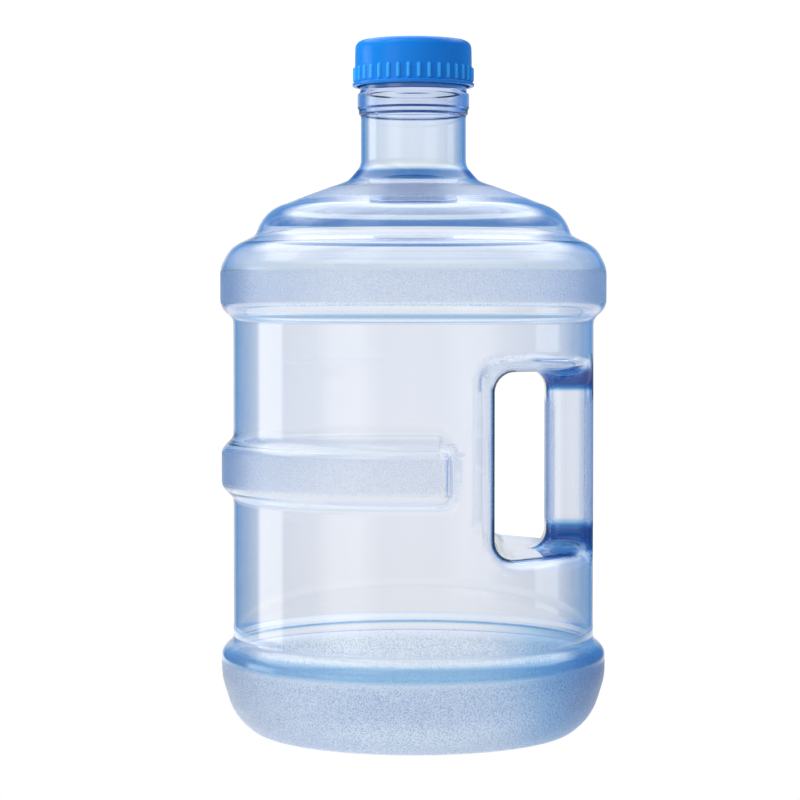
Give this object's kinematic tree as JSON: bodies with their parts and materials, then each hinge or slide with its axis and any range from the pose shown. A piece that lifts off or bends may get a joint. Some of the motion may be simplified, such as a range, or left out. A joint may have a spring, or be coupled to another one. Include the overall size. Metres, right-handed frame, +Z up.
{
  "type": "water jug",
  "caption": "Large clear blue round water jug with a hollow side grip, a raised grip band and a ribbed screw cap that unscrews and lifts off.",
  "frame": {"origin": "centre of the base, on the surface that the jug stands on", "axes": "+Z up along the jug's axis, +X towards the side grip"},
  "size_m": [0.2026, 0.2026, 0.3626],
  "materials": {
    "clear_blue_shell": "clear light blue polycarbonate, glossy, with stippled bands",
    "blue_cap": "opaque bright blue, semi-gloss, fine vertical ribs",
    "gasket": "white silicone, matt"
  },
  "bodies": {
    "bottle": {"shell_foot": "clear_blue_shell", "shell_waist": "clear_blue_shell", "side_grip": "clear_blue_shell", "shell_shoulder": "clear_blue_shell", "shell_neck": "clear_blue_shell"},
    "lift": {"cap_gasket": "gasket"},
    "cap": {"screw_cap": "blue_cap"}
  },
  "joints": [
    {"name": "cap_lift", "type": "slide", "parent": "bottle", "child": "lift", "axis": [0, 0, 1], "range_m": [0, 0.0303]},
    {"name": "cap_turn", "type": "hinge", "parent": "lift", "child": "cap", "pos_m": [0, 0, 0.35], "axis": [0, 0, 1], "range_deg": [0, 1800]}
  ],
  "couplings": [
    {"joint": "cap_lift", "follows": "cap_turn", "m_per_rad": 0.00095493}
  ]
}
